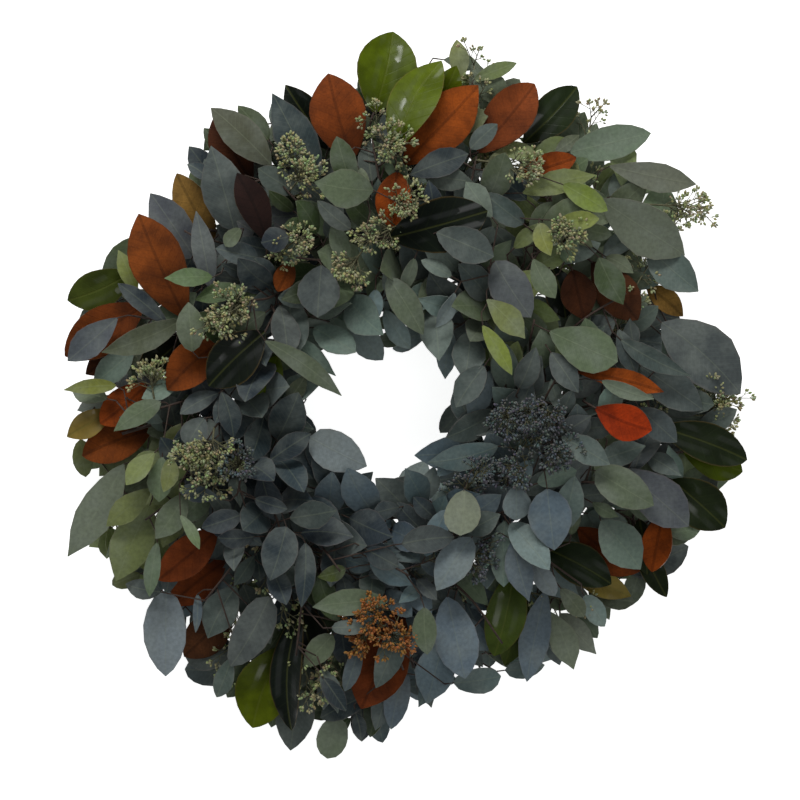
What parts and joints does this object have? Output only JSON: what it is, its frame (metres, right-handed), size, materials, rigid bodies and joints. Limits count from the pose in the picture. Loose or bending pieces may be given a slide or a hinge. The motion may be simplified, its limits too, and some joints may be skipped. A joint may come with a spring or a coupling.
{
  "type": "eucalyptus wreath",
  "caption": "Round wreath of seeded eucalyptus and magnolia leaves wired in bunches on a box-wire ring frame, lying face up.",
  "frame": {"origin": "under the middle of the wreath's outline, on the plane that its back rests on", "axes": "+X to the right and +Y to the top of the wreath as it would hang, +Z out of its face"},
  "size_m": [0.5679, 0.606, 0.1262],
  "materials": {
    "frame_wire": "dark green painted steel wire, satin",
    "paddle_wire": "thin green painted florist's wire",
    "eucalyptus_leaf": "matt blue-grey to sage leaves with a waxy bloom, on brown stems",
    "magnolia_leaf": "glossy dark green above, felted rust brown underneath, on brown woody stems",
    "seed_bud": "matt grey-green seed buds on thin twigs"
  },
  "bodies": {
    "root": {"wire_frame": "frame_wire", "paddle_wire": "paddle_wire", "eucalyptus_bunch_01": "eucalyptus_leaf", "eucalyptus_bunch_02": "eucalyptus_leaf", "eucalyptus_bunch_03": "eucalyptus_leaf", "eucalyptus_bunch_04": "eucalyptus_leaf", "eucalyptus_bunch_05": "eucalyptus_leaf", "eucalyptus_bunch_06": "eucalyptus_leaf", "eucalyptus_bunch_07": "eucalyptus_leaf", "eucalyptus_bunch_08": "eucalyptus_leaf", "eucalyptus_bunch_09": "eucalyptus_leaf", "eucalyptus_bunch_10": "eucalyptus_leaf", "eucalyptus_bunch_11": "eucalyptus_leaf", "eucalyptus_bunch_12": "eucalyptus_leaf", "eucalyptus_bunch_13": "eucalyptus_leaf", "eucalyptus_bunch_14": "eucalyptus_leaf", "eucalyptus_bunch_15": "eucalyptus_leaf", "eucalyptus_bunch_16": "eucalyptus_leaf", "magnolia_sprig_01": "magnolia_leaf", "magnolia_sprig_02": "magnolia_leaf", "magnolia_sprig_03": "magnolia_leaf", "magnolia_sprig_04": "magnolia_leaf", "magnolia_sprig_05": "magnolia_leaf", "magnolia_sprig_06": "magnolia_leaf", "magnolia_sprig_07": "magnolia_leaf", "magnolia_sprig_08": "magnolia_leaf", "magnolia_sprig_09": "magnolia_leaf", "magnolia_sprig_10": "magnolia_leaf", "magnolia_sprig_11": "magnolia_leaf", "magnolia_sprig_12": "magnolia_leaf", "magnolia_sprig_13": "magnolia_leaf", "magnolia_sprig_14": "magnolia_leaf", "magnolia_sprig_15": "magnolia_leaf", "magnolia_sprig_16": "magnolia_leaf", "seed_spray_01": "seed_bud", "seed_spray_02": "seed_bud", "seed_spray_03": "seed_bud", "seed_spray_04": "seed_bud", "seed_spray_05": "seed_bud", "seed_spray_06": "seed_bud", "seed_spray_07": "seed_bud", "seed_spray_08": "seed_bud", "seed_spray_09": "seed_bud", "seed_spray_10": "seed_bud", "seed_spray_11": "seed_bud", "seed_spray_12": "seed_bud", "seed_spray_13": "seed_bud", "seed_spray_14": "seed_bud", "seed_spray_15": "seed_bud", "seed_spray_16": "seed_bud"}
  },
  "joints": []
}
